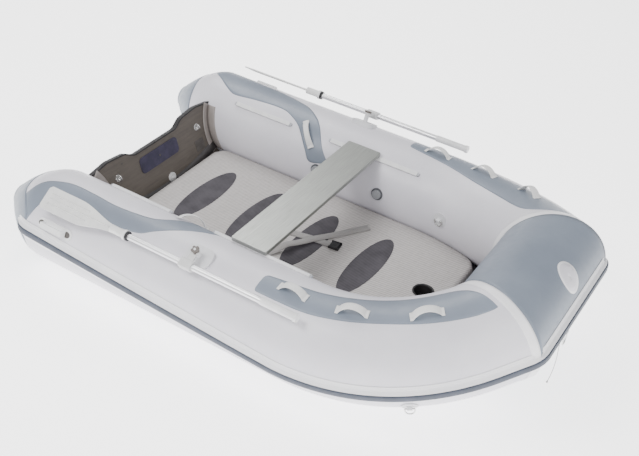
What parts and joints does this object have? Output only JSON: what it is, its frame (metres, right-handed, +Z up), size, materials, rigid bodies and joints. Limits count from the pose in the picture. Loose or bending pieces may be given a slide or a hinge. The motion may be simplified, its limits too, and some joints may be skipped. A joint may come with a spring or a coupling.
{
  "type": "inflatable dinghy",
  "caption": "Open inflatable dinghy with tapered stern tubes, raised bow, air floor, rigid motor transom, sliding bench and stowed oars.",
  "frame": {"origin": "on the ground under the middle of the hull", "axes": "+X forward to the bow, +Y to port, +Z up"},
  "size_m": [2.4578, 1.6402, 0.5677],
  "materials": {
    "hull_fabric": "coated PVC fabric, smooth",
    "panel_fabric": "coated PVC fabric, smooth",
    "stripe_rubber": "satin",
    "floor_fabric": "embossed drop-stitch fabric",
    "pad_foam": "grooved",
    "board_ply": "painted marine plywood",
    "dark_plastic": "moulded",
    "white_plastic": "moulded",
    "blade_plastic": "moulded",
    "lock_rubber": "moulded",
    "oar_tube": "anodised",
    "seat_metal": "satin anodised",
    "steel": "polished wire",
    "webbing": "woven webbing"
  },
  "bodies": {
    "hull": {"aft_handles": "white_plastic", "air_floor": "floor_fabric", "blank_plate": "dark_plastic", "bow_handles": "webbing", "bow_line": "webbing", "bow_line_knot": "dark_plastic", "bow_tube": "panel_fabric", "buckle_frame": "dark_plastic", "chamber_baffles": "hull_fabric", "drain_socket": "dark_plastic", "floor_strap": "webbing", "hull_sheet": "floor_fabric", "inner_handles": "webbing", "inner_motor_pad": "dark_plastic", "keel_tube": "floor_fabric", "outer_motor_pad": "dark_plastic", "port_aft_panel": "panel_fabric", "port_fore_panel": "panel_fabric", "port_oarlock": "lock_rubber", "port_stern_cone": "hull_fabric", "port_tube": "hull_fabric", "ring_patches": "lock_rubber", "rub_strake": "hull_fabric", "rub_stripe": "stripe_rubber", "seat_rails": "white_plastic", "starboard_aft_panel": "panel_fabric", "starboard_fore_panel": "panel_fabric", "starboard_oarlock": "lock_rubber", "starboard_stern_cone": "hull_fabric", "starboard_tube": "hull_fabric", "traction_pads": "pad_foam", "transom_board": "board_ply", "transom_eyes": "steel", "transom_flanges": "hull_fabric", "valve_bodies": "white_plastic"},
    "seat": {"seat_plank": "seat_metal"},
    "drain_plug": {"drain_plug": "white_plastic"},
    "buckle_cam": {"buckle_cam": "dark_plastic"},
    "port_oar": {"port_oar_shaft": "oar_tube", "port_oar_blade": "blade_plastic", "port_oar_grip": "blade_plastic", "port_oar_collar": "white_plastic", "port_oar_clamp": "blade_plastic"},
    "port_knob": {"port_oarlock_knob": "dark_plastic"},
    "starboard_oar": {"starboard_oar_shaft": "oar_tube", "starboard_oar_blade": "blade_plastic", "starboard_oar_grip": "blade_plastic", "starboard_oar_collar": "white_plastic", "starboard_oar_clamp": "blade_plastic"},
    "starboard_knob": {"starboard_oarlock_knob": "dark_plastic"},
    "port_aft_valve_cap": {"port_aft_valve_cap": "white_plastic"},
    "port_fore_valve_cap": {"port_fore_valve_cap": "white_plastic"},
    "starboard_valve_cap": {"starboard_valve_cap": "white_plastic"},
    "keel_valve_cap": {"keel_valve_cap": "white_plastic"},
    "floor_valve_cap": {"floor_valve_cap": "white_plastic"},
    "inner_ring": {"inner_ring": "steel"},
    "port_tow_ring": {"port_tow_ring": "steel"},
    "starboard_tow_ring": {"starboard_tow_ring": "steel"},
    "bow_tow_ring": {"bow_tow_ring": "steel"}
  },
  "joints": [
    {"name": "seat_slide", "type": "slide", "parent": "hull", "child": "seat", "axis": [1, 0, 0], "range_m": [-0.09, 0.2]},
    {"name": "port_oar_swing", "type": "hinge", "parent": "hull", "child": "port_oar", "pos_m": [-0.14028, 0.67348, 0.45547], "axis": [0, -0.4695, -0.8829], "range_deg": [-10, 110]},
    {"name": "port_knob_turn", "type": "hinge", "parent": "hull", "child": "port_knob", "pos_m": [-0.14028, 0.67348, 0.45547], "axis": [0, 0.4695, 0.8829], "continuous": true},
    {"name": "starboard_oar_swing", "type": "hinge", "parent": "hull", "child": "starboard_oar", "pos_m": [-0.14028, -0.67348, 0.45547], "axis": [0, -0.4695, 0.8829], "range_deg": [-10, 110]},
    {"name": "starboard_knob_turn", "type": "hinge", "parent": "hull", "child": "starboard_knob", "pos_m": [-0.14028, -0.67348, 0.45547], "axis": [0, -0.4695, 0.8829], "continuous": true},
    {"name": "port_aft_valve_cap_turn", "type": "hinge", "parent": "hull", "child": "port_aft_valve_cap", "pos_m": [-0.23528, 0.37759, 0.24285], "axis": [0, -0.9877, 0.1564], "range_deg": [0, 90]},
    {"name": "port_fore_valve_cap_turn", "type": "hinge", "parent": "hull", "child": "port_fore_valve_cap", "pos_m": [0.10472, 0.37819, 0.24647], "axis": [0, -0.9848, 0.1736], "range_deg": [0, 90]},
    {"name": "starboard_valve_cap_turn", "type": "hinge", "parent": "hull", "child": "starboard_valve_cap", "pos_m": [0.10472, -0.37819, 0.24647], "axis": [0, 0.9848, 0.1736], "range_deg": [0, 90]},
    {"name": "keel_valve_cap_turn", "type": "hinge", "parent": "hull", "child": "keel_valve_cap", "pos_m": [0.56472, 0, 0.07446], "axis": [0, 0, 1], "range_deg": [0, 90]},
    {"name": "floor_valve_cap_turn", "type": "hinge", "parent": "hull", "child": "floor_valve_cap", "pos_m": [-0.69928, -0.3, 0.13], "axis": [0, 0, 1], "range_deg": [0, 90]},
    {"name": "inner_ring_swing", "type": "hinge", "parent": "hull", "child": "inner_ring", "pos_m": [0.43941, 0.35435, 0.25611], "axis": [-0.9779, 0.19, -0.0878], "range_deg": [0, 90]},
    {"name": "port_tow_ring_swing", "type": "hinge", "parent": "hull", "child": "port_tow_ring", "pos_m": [0.84119, 0.63819, 0.14605], "axis": [0.8627, -0.459, 0.2121], "range_deg": [0, 90]},
    {"name": "starboard_tow_ring_swing", "type": "hinge", "parent": "hull", "child": "starboard_tow_ring", "pos_m": [0.84119, -0.63819, 0.14605], "axis": [-0.8627, -0.459, -0.2121], "range_deg": [0, 90]},
    {"name": "bow_tow_ring_swing", "type": "hinge", "parent": "hull", "child": "bow_tow_ring", "pos_m": [1.20289, -0.03, 0.28177], "axis": [0, -1, 0], "range_deg": [0, 80]},
    {"name": "buckle_cam_lift", "type": "hinge", "parent": "hull", "child": "buckle_cam", "pos_m": [0.1086, 0.03067, 0.1561], "axis": [-0.1392, 0.9903, 0], "range_deg": [0, 80]},
    {"name": "drain_plug_pull", "type": "slide", "parent": "hull", "child": "drain_plug", "axis": [0.9511, 0, 0.309], "range_m": [0, 0.022]}
  ]
}
